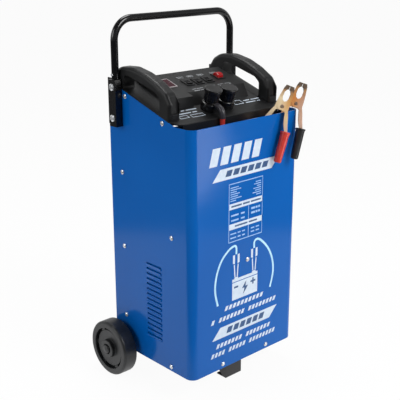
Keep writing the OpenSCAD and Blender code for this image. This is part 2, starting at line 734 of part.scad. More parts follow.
// ---- Terminals: stud, insulating base, knob
terminal_mid = -11;
terminal_y = 92;
terminal_x = [terminal_mid - terminal_gap / 2, terminal_mid + terminal_gap / 2];
lug_t = 3;
knob_h = 29;
module terminal_bases() {
    color("#141416") for (x = terminal_x) on_terrace(x, terminal_y) difference() {
        rotate_extrude() polygon(rounded([[stud_d / 2 + slip, 0, 0], [base_d / 2, 0, 0],
            [base_d / 2, base_h - 3, 3], [base_d / 2 - 6, base_h, 0], [stud_d / 2 + slip, base_h, 0]], 4));
    }
}
module terminal_studs() {
    color("goldenrod") for (x = terminal_x) on_terrace(x, terminal_y) {
        translate([0, 0, -wall - 12]) cylinder(d = stud_d, h = wall + 12 + base_h + lug_t + 16);
        translate([0, 0, -wall - 7]) cylinder(d = stud_d * 1.8, h = 7, $fn = 6);
    }
}
module knob() {
    difference() {
        union() {
            linear_extrude(knob_h - 9) difference() {
                circle(d = knob_d - 6);
                for (i = [0:15]) rotate(i * 22.5) translate([knob_d / 2 - 2.4, 0]) circle(r = 1.6, $fn = 16);
            }
            translate([0, 0, knob_h - 9]) rotate_extrude() polygon(rounded([[0, 0, 0],
                [knob_d / 2, 0, 1.5], [knob_d / 2, 9, 2.5], [0, 9, 0]], 4));
        }
        translate([0, 0, -1]) cylinder(d = stud_d + 2 * run, h = 1 + 18 + 2);
    }
}
module left_terminal_knob() {
    color("#1a1a1c") on_terrace(terminal_x[0], terminal_y)
        translate([0, 0, base_h + lug_t + apart]) knob();
}
module right_terminal_knob() {
    color("#1a1a1c") on_terrace(terminal_x[1], terminal_y)
        translate([0, 0, base_h + apart]) knob();
}

// ---- Lug and sleeve that carry the lead down into the bay
drop_x = -42;
drop_y = 41;
sleeve_d = 11;
lead_top = case_front_h + 2;
lug_bend = 16;
// Middle of the lug's plate on the stud's axis, and the turn from there to the drop
lug_y = terminal_y - (base_h + lug_t / 2) * sin(tilt);
lug_z = terrace_z(terminal_y) + (base_h + lug_t / 2) * cos(tilt);
lug_turn = atan((terminal_x[0] - drop_x) / (lug_y - drop_y));
lug_reach = norm([terminal_x[0] - drop_x, lug_y - drop_y]);
bend_end = lug_bend * (1 - sin(tilt));
straight = (lug_reach - bend_end) / cos(tilt);
bend_z = lug_z - straight * sin(tilt) - lug_bend * cos(tilt);
// The lead's first stretch: up from the drop, over the bend, towards the stud
lug_way = unit([terminal_x[0] - drop_x, lug_y - drop_y]);
lug_side = [lug_way.y, -lug_way.x, 0];
function lug_spot(r, z) = [drop_x + lug_way.x * r, drop_y + lug_way.y * r, z];
function lug_path(low, stop) = concat([lug_spot(0, low)],
    [for (i = [0:8]) let (a = (90 - tilt) * i / 8)
        lug_spot(lug_bend * (1 - cos(a)), bend_z + lug_bend * sin(a))],
    [lug_spot(lug_reach - stop * cos(tilt), lug_z - stop * sin(tilt))]);
module lead_lug() {
    color("silver") {
        on_terrace(terminal_x[0], terminal_y) translate([0, 0, base_h]) rotate([0, 0, -lug_turn])
            difference() {
                union() {
                    cylinder(d = 24, h = lug_t);
                    translate([-6, -25, 0]) cube([12, 23, lug_t]);
                }
                translate([0, 0, -1]) cylinder(d = stud_d + 0.4, h = 9);
            }
        strand(lug_path(lead_top, 22.5), sleeve_d - 1, 20, lug_side);
    }
}
module lead_sleeve() {
    color("dimgray") difference() {
        strand(lug_path(lead_top, 25.5), sleeve_d + 1.6, 20, lug_side);
        strand(lug_path(lead_top - 1, 24.5), sleeve_d - 0.9, 20, lug_side);
    }
}

// ---- Plier clamps: [spread, width, along] is a clamp's own frame, turned and set on the panel's edge
red_pivot = [half_w - 62.2, 1, case_front_h + 14.4];
red_turns = [-15.6, 21.65, -50];
black_pivot = [half_w - 12.6, 1.2, case_front_h + 14.4];
black_turns = [-15.6, 18.4, -50];
grip_top_a = -51.5;
grip_top_b = 30.5;
grip_end_a = -125;
grip_end_b = 40.2;
grip_lean = (grip_end_b - grip_top_b) / (grip_top_a - grip_end_a);
// A point of a clamp's frame in the case's frame
function spin_x(v, a) = [v.x, v.y * cos(a) - v.z * sin(a), v.y * sin(a) + v.z * cos(a)];
function spin_y(v, a) = [v.x * cos(a) + v.z * sin(a), v.y, -v.x * sin(a) + v.z * cos(a)];
function spin_z(v, a) = [v.x * cos(a) - v.y * sin(a), v.x * sin(a) + v.y * cos(a), v.z];
function clamp_point(pivot, turns, v) =
    pivot + spin_z(spin_y(spin_x(v, turns.x), turns.y), turns.z);

// ---- Red lead: straight drop, coil on the bay's floor, rise to the red clamp
coil_x = drop_x + coil_d / 2;
coil_z = bay_floor + coil_d / 2 + lead_d / 2 + 0.2;
coil_turns = 2.5;
coil_pitch = 12.5;
coil_end_y = drop_y - coil_turns * coil_pitch;
module strand(path, d, sides, side = [0, 1, 0]) {
    n = len(path);
    rings = [for (i = [0:n - 1])
        let (a = path[max(0, i - 1)], b = path[min(n - 1, i + 1)], t = unit(b - a),
             e = unit(cross(t, side)), f = cross(t, e))
        for (k = [0:sides - 1]) path[i] + d / 2 * (cos(360 * k / sides) * e + sin(360 * k / sides) * f)];
    polyhedron(rings, concat([[for (k = [0:sides - 1]) k]],
        [for (i = [0:n - 2]) for (k = [0:sides - 1])
            [i * sides + (k + 1) % sides, i * sides + k, (i + 1) * sides + k, (i + 1) * sides + (k + 1) % sides]],
        [[for (k = [sides - 1:-1:0]) (n - 1) * sides + k]]));
}
function between(a, b, n) = [for (i = [0:n]) a + (b - a) * i / n];
drop_path = between([drop_x, drop_y, lead_top], [drop_x, drop_y, coil_z], 9);
module red_lead_drop() { color("#c8231c") strand(drop_path, lead_d, 10); }
module red_lead_coil() {
    color("#c8231c") translate([coil_x, drop_y + lead_d / 2, coil_z]) rotate([90, 0, 0])
        rotate_extrude($fn = 64) translate([coil_d / 2 - lead_d / 2, 0, 0])
            square([lead_d, drop_y - coil_end_y + lead_d]);
}
function curve(a, b, c, d, n) = [for (i = [0:n]) let (t = i / n, s = 1 - t)
    s * s * s * a + 3 * s * s * t * b + 3 * s * t * t * c + t * t * t * d];
lead_gap = 3.6;   // leaves the swinging grip room to pass over the lead's end
rise_end = clamp_point(red_pivot, red_turns, [-grip_end_b, 0, grip_end_a - lead_gap]);
rise_aim = clamp_point(red_pivot, red_turns, [-grip_end_b - grip_lean * 60, 0, grip_end_a - 60]);
rise_path = curve([coil_x + coil_d / 2, coil_end_y, coil_z],
    [coil_x + coil_d / 2, coil_end_y + 4, coil_z + 80], rise_aim, rise_end, 14);
module red_lead_rise() { color("#c8231c") strand(rise_path, lead_d, 10); }

module on_clamp(pivot, turns) { translate(pivot) rotate(turns) children(); }

// Half of the jaw, plate and leg, in spread (x) and along (y)
function arm_outer(d) = [[9.5 - d, 51 - d], [12 - d, 44], [14.5 - d, 25], [16 - d, 8], [16.5 - d, -5],
    [22.5 - d, -19], [28 - d, -35], [34.5 - d, -51.5], [40.1 - d, -97]];
function arm_inner() = [[32.1, -97], [26.5, -51.5], [18.5, -36], [13.5, -20], [11.8, -12], [9, -9.6],
    [3, -8.9], [-4, -9.2], [-9.3, -6], [-11.3, 0], [-10.8, 5], [-8, 9.5], [0.3, 12], [5, 15], [7.5, 22], [7.5, 34], [4, 41], [0.4, 43],
    [1.4, 44.5], [0.4, 46], [1.4, 47.5], [0.4, 49], [0.4, 51]];
module arm(half) {
    rotate([90, 0, 0]) difference() {
        union() {
            for (s = [-half, half - clamp_t]) translate([0, 0, s]) linear_extrude(clamp_t)
                polygon(concat(arm_outer(0), arm_inner()));
            translate([0, 0, -half]) linear_extrude(2 * half)
                polygon(concat(arm_outer(0), [for (i = [8:-1:0]) arm_outer(clamp_t)[i]]));
            translate([0.4, 49, -half]) cube([9, 2, 2 * half]);
        }
        translate([0, 0, -half - 1]) cylinder(d = rivet_d + 2 * run, h = 2 * half + 2);
    }
}
inner_half = clamp_half - clamp_t - 0.2;
module clamp_rivet() {
    rotate([90, 0, 0]) {
        translate([0, 0, -clamp_half - 1]) cylinder(d = rivet_d, h = 2 * clamp_half + 2);
        for (s = [0, 1]) mirror([0, 0, s]) translate([0, 0, clamp_half + 0.1])
            cylinder(d1 = rivet_d * 1.8, d2 = rivet_d * 1.2, h = 2);
    }
}
wire_d = 1.6;
module clamp_spring() {
    r = rivet_d / 2 + wire_d / 2 + 0.6;
    turns = 3;
    n = 16;
    pitch = wire_d + 0.2;
    coil = [for (i = [0:turns * n]) let (a = 180 + 360 * i / n)
        [r * cos(a), -turns * pitch / 2 + pitch * i / n, r * sin(a)]];
    head = [[-r - 2.2, -turns * pitch / 2 + 0.02, -13], [-r - 1.4, -turns * pitch / 2, -8]];
    tail_dir = [-r, turns * pitch / 2, 0];
    strand(concat(head, coil, [[-r + 3, turns * pitch / 2 - 0.02, -8]]), wire_d, 6);
}
// Dipped grip over the end of a leg, with a pocket for it
module clamp_grip(half) {
    l = norm([grip_end_b - grip_top_b, grip_end_a - grip_top_a]);
    translate([grip_top_b, 0, grip_top_a]) rotate([0, -atan(grip_lean), 0]) rotate([180, 0, 0])
        difference() {
            rotate_extrude() polygon(rounded([[0, 0, 0], [clamp_grip_d / 2, 0, 1.2],
                [clamp_grip_d / 2, 3.6, 1.2], [clamp_grip_d / 2 - 1.2, 5.5, 1], [clamp_grip_d / 2 - 3, l, 4],
                [0, l, 0]], 3));
            translate([-4.7, -half - slip, -1]) cube([9.4, 2 * (half + slip), 49]);
        }
}
module red_clamp_front_arm() { color("peru") on_clamp(red_pivot, red_turns) arm(clamp_half); }
module red_clamp_back_arm() {
    color("peru") on_clamp(red_pivot, red_turns) mirror([1, 0, 0]) arm(inner_half);
}
module red_clamp_rivet() { color("silver") on_clamp(red_pivot, red_turns) clamp_rivet(); }
module red_clamp_spring() { color("silver") on_clamp(red_pivot, red_turns) clamp_spring(); }
module red_clamp_front_grip() { color("#e0402e") on_clamp(red_pivot, red_turns) clamp_grip(clamp_half); }
module red_clamp_back_grip() {
    color("#e0402e") on_clamp(red_pivot, red_turns) mirror([1, 0, 0]) clamp_grip(inner_half);
}
module black_clamp_front_arm() { color("peru") on_clamp(black_pivot, black_turns) arm(clamp_half); }
module black_clamp_back_arm() {
    color("peru") on_clamp(black_pivot, black_turns) mirror([1, 0, 0]) arm(inner_half);
}
module black_clamp_rivet() { color("silver") on_clamp(black_pivot, black_turns) clamp_rivet(); }
module black_clamp_spring() { color("silver") on_clamp(black_pivot, black_turns) clamp_spring(); }
module black_clamp_front_grip() {
    color("#1a1a1c") on_clamp(black_pivot, black_turns) clamp_grip(clamp_half);
}
module black_clamp_back_grip() {
    color("#1a1a1c") on_clamp(black_pivot, black_turns) mirror([1, 0, 0]) clamp_grip(inner_half);
}

// ---- Transformer
core_y = (bay_d + case_d) / 2 - 7;
core_z = base_t + 22;
leg_w = core_w / 6;
window_w = leg_w;
core_foot_y = [core_y - core_d / 2 - 12, core_y + core_d / 2 + 12];
core_foot_x = [-core_w / 2 + 16, core_w / 2 - 16];
angle_t = 2;
module core_bolts() {
    color("silver") for (x = core_foot_x) translate([x, core_y, core_z + leg_w / 2]) rotate([-90, 0, 0]) {
        grip = core_d + 2 * (angle_t + slip);
        translate([0, 0, -grip / 2]) hex_bolt(grip, 0);
    }
}
module transformer_core() {
    color("slategray") difference() {
        translate([-core_w / 2, core_y - core_d / 2, core_z]) cube([core_w, core_d, core_h]);
        for (x = [-leg_w - window_w, leg_w])
            translate([x, core_y - core_d / 2 - 1, core_z + leg_w])
                cube([window_w, core_d + 2, core_h - 2 * leg_w]);
        for (x = core_foot_x)
            translate([x, core_y - core_d / 2 - 1, core_z + leg_w / 2]) rotate([-90, 0, 0])
                cylinder(d = 6.4, h = core_d + 2);
    }
}
module winding(z0, z1, over) {
    difference() {
        translate([-leg_w - window_w + 1, core_y - core_d / 2 - over, z0])
            cube([2 * (leg_w + window_w - 1), core_d + 2 * over, z1 - z0]);
        translate([-leg_w - slip, core_y - core_d / 2 - slip, z0 - 1])
            cube([2 * (leg_w + slip), core_d + 2 * slip, z1 - z0 + 2]);
    }
}
wind_low = core_z + leg_w + 0.5;
wind_mid = core_z + core_h / 2;
wind_high = core_z + core_h - leg_w - 0.5;
module primary_winding() { color("darkred") winding(wind_low, wind_mid - 1, 22); }
module secondary_winding() { color("peru") winding(wind_mid + 1, wind_high, 26); }
module transformer_angles() {
    color("dimgray") for (s = [0, 1]) translate([0, 2 * core_y * s, 0]) mirror([0, s, 0]) difference() {
        union() {
            translate([-core_w / 2, core_y - core_d / 2 - 24, base_t])
                cube([core_w, 24 - slip, angle_t]);
            translate([-core_w / 2, core_y - core_d / 2 - angle_t - slip, base_t])
                cube([core_w, angle_t, core_z - base_t + leg_w * 0.8]);
            translate([-core_w / 2, core_y - core_d / 2 - angle_t - slip, core_z - angle_t - 0.05])
                cube([core_w, 24, angle_t]);
        }
        for (x = core_foot_x) {
            translate([x, core_y - core_d / 2 - 9, core_z + leg_w / 2]) rotate([-90, 0, 0])
                cylinder(d = 6.4, h = 19);
            translate([x, core_y - core_d / 2 - 12, 0]) cylinder(d = 6.4, h = 9);
        }
    }
}
module thermal_breaker() {
    color("saddlebrown") translate([20, core_y - core_d / 2 - 26 - 8 - 0.1, wind_mid + 12])
        cube([14, 8, 20]);
}

// ---- Rectifier
sink_z = 330;
sink_w = 150;
sink_h = 110;
sink_bolts = [[-60, sink_z + sink_h / 2], [60, sink_z + sink_h / 2]];
diode_x = [-45, -15, 15, 45];
module rectifier_heatsink() {
    color("lightgray") difference() {
        union() {
            translate([-sink_w / 2, bay_d + part_t + 12, sink_z]) cube([sink_w, 8, sink_h]);
            for (i = [0:11]) translate([-sink_w / 2 + i * (sink_w - 3) / 11, bay_d + part_t + 19, sink_z])
                cube([3, 36, sink_h]);
            for (p = sink_bolts) translate([p[0], bay_d + part_t + 0.05, p[1]]) rotate([-90, 0, 0])
                cylinder(d = 14, h = 12.1);
        }
        for (p = sink_bolts) translate([p[0], bay_d + part_t - 1, p[1]]) rotate([-90, 0, 0])
            cylinder(d = 5.4, h = 14);
        for (x = diode_x) translate([x, bay_d + part_t + 5, sink_z + sink_h / 4]) rotate([-90, 0, 0])
            cylinder(d = 12.7, h = 30);
    }
}
module rectifier_diodes() {
    color("silver") for (x = diode_x)
        translate([x, bay_d + part_t + 3, sink_z + sink_h / 4]) rotate([-90, 0, 0]) {
            cylinder(d = 12.6, h = 15);
            translate([0, 0, -2]) cylinder(d = 5, h = 2.01);
        }
}

// ---- Fan behind the grille
fan_hole = fan_w - 8;
fan_y = case_d - rear_t - fan_d;
module fan_frame() {
    color("#222326") difference() {
        translate([-fan_w / 2, fan_y, fan_z - fan_w / 2]) cube([fan_w, fan_d, fan_w]);
        translate([0, fan_y - 1, fan_z]) rotate([-90, 0, 0]) difference() {
            cylinder(d = fan_hole, h = fan_d + 2);
            translate([0, 0, -1]) cylinder(d = 42, h = 6);
            for (a = [0:90:270]) rotate([0, 0, a + 20]) translate([0, -3, -1]) cube([fan_w, 6, 5]);
        }
        fan_screw_places() translate([0, 0, -fan_d - 9]) cylinder(d = 4.5, h = fan_d + 20);
        translate([0, fan_y - 1, fan_z]) rotate([-90, 0, 0]) cylinder(d = 5 + 2 * run, h = 12);
    }
}
module fan_rotor() {
    color("#303236") translate([0, fan_y, fan_z]) rotate([-90, 0, 0]) {
        translate([0, 0, 1]) cylinder(d = 5, h = 9);
        translate([0, 0, 6]) cylinder(d = 40, h = 24);
        for (a = [0:60:300]) rotate([0, 0, a]) translate([18, 0, 18]) rotate([32, 0, 0])
            translate([0, -1, -11]) cube([fan_hole / 2 - 18 - 2.5, 2, 22]);
    }
}
module fan_screws() {
    color("silver") fan_screw_places() pan_screw(8, 2.6, 4, fan_d + rear_t + 3);
}

// ---- Mains cable gland: body outside, nut inside
module mains_gland() {
    color("#1a1a1c") translate([gland_x, case_d, gland_z]) rotate([-90, 0, 0]) difference() {
        union() {
            translate([0, 0, -12]) cylinder(d = gland_d, h = 13);
            cylinder(d = 27, h = 6, $fn = 6);
            translate([0, 0, 5.9]) cylinder(d1 = 24, d2 = 17, h = 14);
            translate([0, 0, -rear_t - 5]) cylinder(d = 27, h = 5, $fn = 6);
        }
        translate([0, 0, -20]) cylinder(d = 9, h = 60);
    }
}

placed() casing_shell();
placed() rear_panel();
placed() base_plate();
placed() bay_partition();
placed() console();
placed() front_foot();
placed() base_bolts();
placed() case_screws();
placed() push_handle();
placed() handle_brackets();
placed() bracket_bolts();
placed() handle_stop_screws();
placed() axle();
placed() left_wheel();
placed() right_wheel();
placed() wheel_spacers();
placed() axle_caps();
placed() display_frame();
placed() display_window();
placed() display_module();
placed() control_board();
placed() rocker_frames();
placed() left_rocker();
placed() middle_rocker();
placed() right_rocker();
placed() power_rocker_frame();
placed() power_rocker();
placed() terminal_bases();
placed() terminal_studs();
placed() left_terminal_knob();
placed() right_terminal_knob();
placed() lead_lug();
placed() lead_sleeve();
placed() red_lead_drop();
placed() red_lead_coil();
placed() red_lead_rise();
placed() red_clamp_front_arm();
placed() red_clamp_back_arm();
placed() red_clamp_rivet();
placed() red_clamp_spring();
placed() red_clamp_front_grip();
placed() red_clamp_back_grip();
placed() black_clamp_front_arm();
placed() black_clamp_back_arm();
placed() black_clamp_rivet();
placed() black_clamp_spring();
placed() black_clamp_front_grip();
placed() black_clamp_back_grip();
placed() transformer_core();
placed() core_bolts();
placed() primary_winding();
placed() secondary_winding();
placed() transformer_angles();
placed() rectifier_heatsink();
placed() rectifier_diodes();
placed() thermal_breaker();
placed() fan_frame();
placed() fan_rotor();
placed() fan_screws();
placed() mains_gland();
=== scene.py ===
from math import atan, cos, radians, sin, tau

import bmesh
import bpy
from mathutils import Matrix, Vector


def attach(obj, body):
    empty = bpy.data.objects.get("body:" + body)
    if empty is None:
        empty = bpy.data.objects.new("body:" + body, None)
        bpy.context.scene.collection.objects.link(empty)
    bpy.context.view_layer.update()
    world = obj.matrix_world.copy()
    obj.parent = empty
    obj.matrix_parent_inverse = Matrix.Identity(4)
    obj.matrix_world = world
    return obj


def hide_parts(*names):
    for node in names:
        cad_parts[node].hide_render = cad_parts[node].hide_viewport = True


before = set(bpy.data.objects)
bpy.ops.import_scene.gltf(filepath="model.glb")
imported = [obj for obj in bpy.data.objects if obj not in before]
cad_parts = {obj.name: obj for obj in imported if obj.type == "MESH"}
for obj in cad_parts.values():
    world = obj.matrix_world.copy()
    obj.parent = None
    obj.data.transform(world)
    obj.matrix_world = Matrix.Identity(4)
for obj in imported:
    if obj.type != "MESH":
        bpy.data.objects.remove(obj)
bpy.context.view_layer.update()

# ---------------------------------------------------------------- camera
# The camera stands in front of the charger's left corner, a little above it, with a long lens
# that keeps the upright edges nearly parallel.
view_azimuth = -42.77
view_pitch = 17.75
view_roll = 0.06
camera_data = bpy.data.cameras.new("camera")
camera_data.lens = 74.4
camera_data.sensor_width = 36.0
camera = bpy.data.objects.new("camera", camera_data)
camera.location = (-1.3221, -1.4183, 1.0575)
camera.rotation_euler = (radians(90 - view_pitch), radians(view_roll), radians(view_azimuth))
bpy.context.collection.objects.link(camera)
bpy.context.scene.camera = camera
bpy.context.scene.view_settings.view_transform = "Standard"

# ---------------------------------------------------------------- red lead
# The red battery lead: fine copper strands in a soft PVC sheath, 12 mm across and 1.5 m long.
# It leaves the cable lug, drops into the storage bay, lies there in a coil that stands on the
# bay's floor, and rises to the red clamp's inner grip.
mm = 0.001
case_front = -0.1497  # the case's front face in the object's frame
case_bottom = 0.062  # the case's bottom edge above the ground


def case(x, y, z):
    """A place in the case's own millimetres, turned to the object's frame in metres."""
    return Vector((x * mm, y * mm + case_front, z * mm + case_bottom))


def linear(text):
    """An sRGB hex colour as linear RGBA."""
    parts = [int(text[i : i + 2], 16) / 255 for i in (1, 3, 5)]
    return (*[c / 12.92 if c <= 0.04045 else ((c + 0.055) / 1.055) ** 2.4 for c in parts], 1.0)


def add(tree, kind, **settings):
    """A node with its settings; a setting that names a socket is set or linked there."""
    node = tree.nodes.new("ShaderNode" + kind)
    for name, value in settings.items():
        if name.startswith("in_"):
            key = name[3:]
            socket = node.inputs[int(key) if key.isdigit() else key.replace("_", " ")]
            if isinstance(value, bpy.types.NodeSocket):
                tree.links.new(value, socket)
            else:
                socket.default_value = value
        else:
            setattr(node, name, value)
    return node


def material(name, **surface):
    """A new Principled material; returns it, its tree, its shader and its object coordinates."""
    made = bpy.data.materials.new(name)
    made.use_nodes = True
    tree = made.node_tree
    tree.nodes.clear()
    shader = add(tree, "BsdfPrincipled", **surface)
    add(tree, "OutputMaterial", in_Surface=shader.outputs[0])
    place = add(tree, "TexCoord").outputs["Object"]
    return made, tree, shader, place


def shades(tree, factor, *stops):
    """A colour ramp between hex colours, each at its own place from 0 to 1."""
    ramp = add(tree, "ValToRGB", in_Fac=factor)
    while len(ramp.color_ramp.elements) < len(stops):
        ramp.color_ramp.elements.new(0.5)
    for element, (place, colour) in zip(ramp.color_ramp.elements, stops):
        element.position = place
        element.color = linear(colour)
    return ramp.outputs["Color"]


def toned(name, patch, detail, low, high, **surface):
    """A material whose colour drifts between two tones, in patches of a size in millimetres."""
    made, tree, shader, place = material(name, **surface)
    drift = add(tree, "TexNoise", in_Vector=place, in_Scale=1 / (patch * mm), in_Detail=detail)
    colour = shades(tree, drift.outputs["Fac"], (0.3, low), (0.7, high))
    tree.links.new(colour, shader.inputs["Base Color"])
    return made, tree, shader, place


def grained(look, size, detail, strength, depth):
    """Fine relief on a material that toned has made, with its size and depth in millimetres."""
    made, tree, shader, place = look
    grit = add(tree, "TexNoise", in_Vector=place, in_Scale=1 / (size * mm), in_Detail=detail)
    relief = add(tree, "Bump", in_Height=grit.outputs["Fac"], in_Strength=strength, in_Distance=depth * mm)
    tree.links.new(relief.outputs["Normal"], shader.inputs["Normal"])
    return made


# Extruded PVC sheath: even red with a soft shine. Its faint grain is drawn coarser than the real
# one, so that it shows.
red_sheath = grained(
    toned("red_pvc_sheath", 14, 3.0, "#b3261c", "#cf3a2a", in_Roughness=0.42),
    size=1.2, detail=2.0, strength=0.12, depth=0.2,
)

lead_d = 12
drop_x, drop_y, lead_top = -42, 41, 602
drop_points, turn_points, rise_points = 9, 24, 14
coil_r = 66
coil_x, coil_z = drop_x + coil_r, 344.2
coil_turns, coil_pitch = 2.5, 12.5
coil_end_y = drop_y - coil_turns * coil_pitch


def hung(tilt):
    """How a clamp hangs: turned on the panel's edge and tilted in its own plane."""
    turned = Matrix.Rotation(radians(-50), 3, "Z") @ Matrix.Rotation(radians(tilt), 3, "Y")
    return turned @ Matrix.Rotation(radians(-15.6), 3, "X")


red_pivot, red_hung = Vector((112.8, 1, 614.4)), hung(21.65)


def red_clamp_point(spread, width, along):
    """A place in the red clamp's own frame, in the case's millimetres."""
    return red_pivot + red_hung @ Vector((spread, width, along))


def bezier(a, b, c, d, count):
    """Points on the curve from a to d that b and c pull."""
    steps = [i / count for i in range(count + 1)]
    return [(1 - t) ** 3 * a + 3 * (1 - t) ** 2 * t * b + 3 * (1 - t) * t * t * c + t**3 * d for t in steps]


drop_step = (coil_z - lead_top) / drop_points
drop = [Vector((drop_x, drop_y, lead_top + drop_step * i)) for i in range(drop_points)]
coil = []
for i in range(int(coil_turns * turn_points) + 1):
    turned = tau * i / turn_points
    x, z = coil_x - coil_r * cos(turned), coil_z - coil_r * sin(turned)
    coil.append(Vector((x, drop_y - coil_pitch * i / turn_points, z)))
rise_start = Vector((coil_x + coil_r, coil_end_y, coil_z))
rise_pull = rise_start + Vector((0, 4, 80))
rise_end = red_clamp_point(-40.2, 0, -128.6)  # where the inner grip's sleeve opens
rise_aim = red_clamp_point(-48.12, 0, -185)  # further down the grip's own line
rise = bezier(rise_start, rise_pull, rise_aim, rise_end, rise_points)
lead_points = [case(*p) for p in drop + coil + rise[1:]]

lead_curve = bpy.data.curves.new("red_lead", "CURVE")
lead_curve.dimensions = "3D"
lead_curve.bevel_depth = lead_d / 2 * mm
lead_curve.bevel_resolution = 5
lead_curve.use_fill_caps = True
lead_spline = lead_curve.splines.new("POLY")
lead_spline.points.add(len(lead_points) - 1)
for point, spot in zip(lead_spline.points, lead_points):
    point.co = (*spot, 1)
red_lead = bpy.data.objects.new("red_lead", lead_curve)
lead_curve.materials.append(red_sheath)
bpy.context.collection.objects.link(red_lead)
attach(red_lead, "charger")
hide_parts("red_lead_drop", "red_lead_coil", "red_lead_rise")

# ---------------------------------------------------------------- case
# One steel sheet folded round the front and both sides, with pressed vents, and a rear panel
# whose flanges are screwed inside those sides.


def dress(finish, *nodes):
    """Give CAD nodes their finish."""
    for name in nodes:
        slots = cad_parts[name].data.materials
        if len(slots):
            for i in range(len(slots)):
                slots[i] = finish
        else:
            slots.append(finish)


# Thick gloss powder coat: a clear shine over an even blue, with the coat's slight waviness
case_blue = grained(
    toned("blue_gloss_powder_coat", 260, 1.0, "#0359ab", "#065fb3", in_Roughness=0.14, in_IOR=1.3),
    size=4, detail=2.0, strength=0.05, depth=0.1,
)
dress(case_blue, "casing_shell", "rear_panel")

# ---------------------------------------------------------------- base, bay and foot
# Pressed steel: the base plate, the partition that closes the lead bay, and the bent front foot,
# bolted and screwed to the case.

# Black powder coat: satin, finely pebbled
black_coat, tree, shader, place = toned(
    "black_powder_coat", 30, 2.0, "#101113", "#1a1b1e", in_Roughness=0.38
)
pebble = add(tree, "TexVoronoi", in_Vector=place, in_Scale=1 / (1.1 * mm))
relief = add(tree, "Bump", in_Height=pebble.outputs["Distance"], in_Strength=0.12, in_Distance=0.2 * mm)
tree.links.new(relief.outputs["Normal"], shader.inputs["Normal"])
dress(black_coat, "base_plate", "bay_partition", "front_foot")

# ---------------------------------------------------------------- push handle
# A bent steel tube whose ends stand in two steel channels. Large bolts hold the channels to the
# sides of the case.

# Black gloss stove enamel: smooth, with sharp highlights
black_gloss = grained(
    toned("black_stove_enamel", 60, 1.0, "#08080a", "#0d0d0f", in_Roughness=0.2),
    size=3, detail=2.0, strength=0.06, depth=0.1,
)
dress(black_gloss, "push_handle", "handle_brackets")

# ---------------------------------------------------------------- console
# One ABS moulding with both carry handles, let into the top of the case. The switch frames, the
# fan, the cable gland and the display's case are smaller mouldings of the same kind.

# Moulded ABS with a spark-eroded grain, which makes its shine soft and broken. The grain is
# drawn coarser than the real one, so that it shows.
console_abs = grained(
    toned("black_grained_abs", 40, 3.0, "#101112", "#191a1b", in_Roughness=0.42, in_IOR=1.4),
    size=1.5, detail=4.0, strength=0.35, depth=0.25,
)
dress(
    console_abs, "console", "rocker_frames", "power_rocker_frame", "fan_frame", "fan_rotor",
    "mains_gland", "display_module",
)

# ---------------------------------------------------------------- print on the front
# Screen print on the front panel, one thin layer of ink: bars where a name would be, plain
# badges, a ruled table, and a picture of a battery with two leads clipped to it. Outlines are in
# the case's millimetres, across from its middle and up from its bottom edge.
ink_t = 0.12
panel_lean = Matrix(((1, 0, 0), (0, 0, -1), (0, 1, 0)))  # u runs across, v runs up, ink faces out


def screen_ink(name, low, high):
    """Screen ink: flat and even, faintly worn, duller than the enamel round it."""
    return toned(name, 9, 3.0, low, high, in_Roughness=0.45)[0]


white_ink = screen_ink("white_screen_ink", "#c9d8e8", "#d6e2ef")
pale_ink = screen_ink("pale_blue_screen_ink", "#86b4e4", "#a4c8ee")
cyan_ink = screen_ink("light_cyan_screen_ink", "#a9dcf4", "#c3ebfb")
grey_ink = screen_ink("grey_screen_ink", "#a2a6ac", "#bcc0c4")
navy_ink = screen_ink("navy_screen_ink", "#1d4574", "#2a568a")


def piece(name, mesh, finish):
    """Put a finished bmesh in the scene as an object with its material."""
    data = bpy.data.meshes.new(name)
    mesh.to_mesh(data)
    mesh.free()
    made = bpy.data.objects.new(name, data)
    data.materials.append(finish)
    bpy.context.collection.objects.link(made)
    return made


def pushed_out(mesh, faces, way):
    """Extrude flat faces along a vector, into closed solids whose faces point outwards."""
    raised = bmesh.ops.extrude_face_region(mesh, geom=faces, use_keep_orig=True)
    verts = [v for v in raised["geom"] if isinstance(v, bmesh.types.BMVert)]
    bmesh.ops.translate(mesh, vec=way, verts=verts)
    bmesh.ops.recalc_face_normals(mesh, faces=mesh.faces[:])


def printed(name, outlines, ink, turn=panel_lean, spot=(0, 0, 0), lift=0.0):
    """Closed outlines in millimetres as a thin layer of ink on a surface."""
    mesh = bmesh.new()
    for outline in outlines:
        mesh.faces.new([mesh.verts.new((u, v, lift)) for u, v in outline])
    bmesh.ops.recalc_face_normals(mesh, faces=mesh.faces[:])
    bmesh.ops.triangulate(mesh, faces=mesh.faces[:])
    pushed_out(mesh, mesh.faces[:], (0, 0, ink_t))
    placed = Matrix.Translation(case(*spot)) @ turn.to_4x4() @ Matrix.Scale(mm, 4)
    bmesh.ops.transform(mesh, matrix=placed, verts=mesh.verts[:])
    made = piece(name, mesh, ink)
    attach(made, "charger")


def bar(left, right, low, high, slant=0.0):
    """A bar from left to right and low to high, whose top is moved over by slant."""
    return [(left, low), (right, low), (right + slant, high), (left + slant, high)]


def stroke(points, width):
    """The outline of a line of one width through points."""
    spots = [Vector(p) for p in points]
    left, right = [], []
    for i, spot in enumerate(spots):
        along = (spots[min(i + 1, len(spots) - 1)] - spots[max(i - 1, 0)]).normalized()
        across = Vector((-along.y, along.x)) * width / 2
        left.append(tuple(spot + across))
        right.append(tuple(spot - across))
    return left + right[::-1]


def smooth(points, steps=5):
    """A smooth line through points."""
    spots = [Vector(p) for p in points]
    line = []
    for i in range(len(spots) - 1):
        before, a, b = spots[max(i - 1, 0)], spots[i], spots[i + 1]
        after = spots[min(i + 2, len(spots) - 1)]
        for k in range(steps):
            t = k / steps
            line.append(
                0.5
                * (2 * a + (b - before) * t + (2 * before - 5 * a + 4 * b - after) * t * t
                   + (3 * a - before - 3 * b + after) * t**3)
            )
    return [tuple(p) for p in line + [spots[-1]]]


